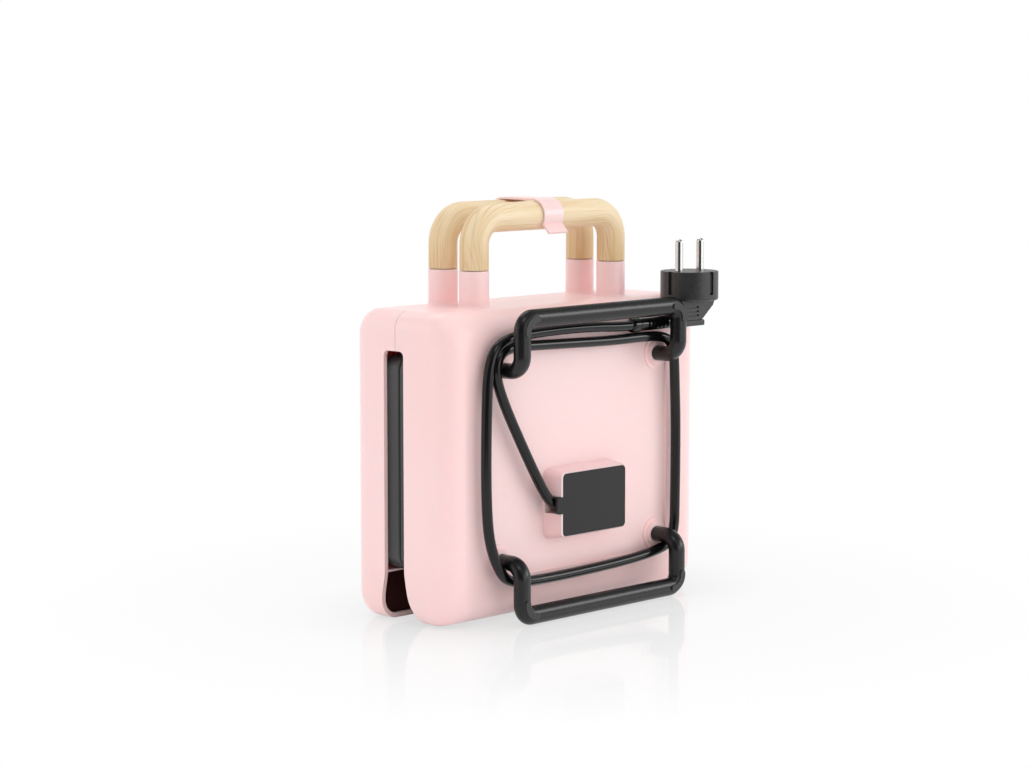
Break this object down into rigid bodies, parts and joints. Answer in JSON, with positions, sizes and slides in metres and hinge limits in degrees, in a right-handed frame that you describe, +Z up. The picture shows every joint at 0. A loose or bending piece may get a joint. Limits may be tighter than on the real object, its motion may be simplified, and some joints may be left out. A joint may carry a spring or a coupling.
{
  "type": "sandwich maker",
  "caption": "Upright sandwich maker: rounded pink half shells on a bottom hinge, wood-look loop handles with a latch clip, cord wrapped behind two bail feet.",
  "frame": {"origin": "centre of the footprint at the standing face, cord, plug and strain relief left out", "axes": "+Z up towards the handles, +Y from the cord side towards the lid, +X to the right seen from the cord side"},
  "size_m": [0.2148, 0.1063, 0.2354],
  "materials": {
    "pink_shell": "satin",
    "bail_plastic": "satin",
    "clip_plastic": "satin",
    "wood_look": "satin",
    "pad_rubber": "matte",
    "cord_rubber": "matte",
    "cover_plastic": "matte",
    "bezel_plastic": "matte",
    "inner_plastic": "matte",
    "coated_plates": "satin",
    "shield_sheet": "satin",
    "element_sheath": "satin",
    "bracket_steel": "satin",
    "steel_screws": "satin",
    "nickel_pins": "polished",
    "red_lens": "gloss",
    "green_lens": "gloss",
    "lamp_glass": "gloss"
  },
  "bodies": {
    "base": {"base_shell": "pink_shell", "base_handle": "wood_look", "base_handle_screws": "steel_screws", "top_bail": "bail_plastic", "bottom_bail": "bail_plastic", "foot_pads": "pad_rubber", "bail_screws": "steel_screws", "terminal_cover": "cover_plastic", "cord_collar": "cord_rubber", "cord_clamp": "inner_plastic", "terminal_block": "inner_plastic", "base_bezel": "bezel_plastic", "base_wiring_cover": "bezel_plastic", "base_plate": "coated_plates", "base_plate_screws": "steel_screws", "base_heat_shield": "shield_sheet", "base_heating_element": "element_sheath", "thermostat": "shield_sheet", "thermal_fuse": "inner_plastic", "base_hinge_brackets": "bracket_steel", "hinge_pins": "steel_screws", "plug_body": "cord_rubber", "plug_pins": "nickel_pins", "earth_contacts": "nickel_pins", "strain_relief": "cord_rubber", "power_cord": "cord_rubber"},
    "lid": {"lid_shell": "pink_shell", "lid_handle": "wood_look", "lid_handle_screws": "steel_screws", "lid_bezel": "bezel_plastic", "lid_wiring_cover": "bezel_plastic", "lid_plate": "coated_plates", "lid_plate_screws": "steel_screws", "lid_heat_shield": "shield_sheet", "lid_heating_element": "element_sheath", "lid_hinge_brackets": "bracket_steel", "power_lens": "red_lens", "ready_lens": "green_lens", "indicator_lamps": "lamp_glass"},
    "latch": {"latch_clip": "clip_plastic"}
  },
  "joints": [
    {"name": "lid_hinge", "type": "hinge", "parent": "base", "child": "lid", "pos_m": [0, 0.0124, 0.012], "axis": [-1, 0, 0], "range_deg": [0, 100]},
    {"name": "latch_hinge", "type": "hinge", "parent": "lid", "child": "latch", "pos_m": [0, 0.0249, 0.2255], "axis": [-1, 0, 0], "range_deg": [0, 95]}
  ]
}
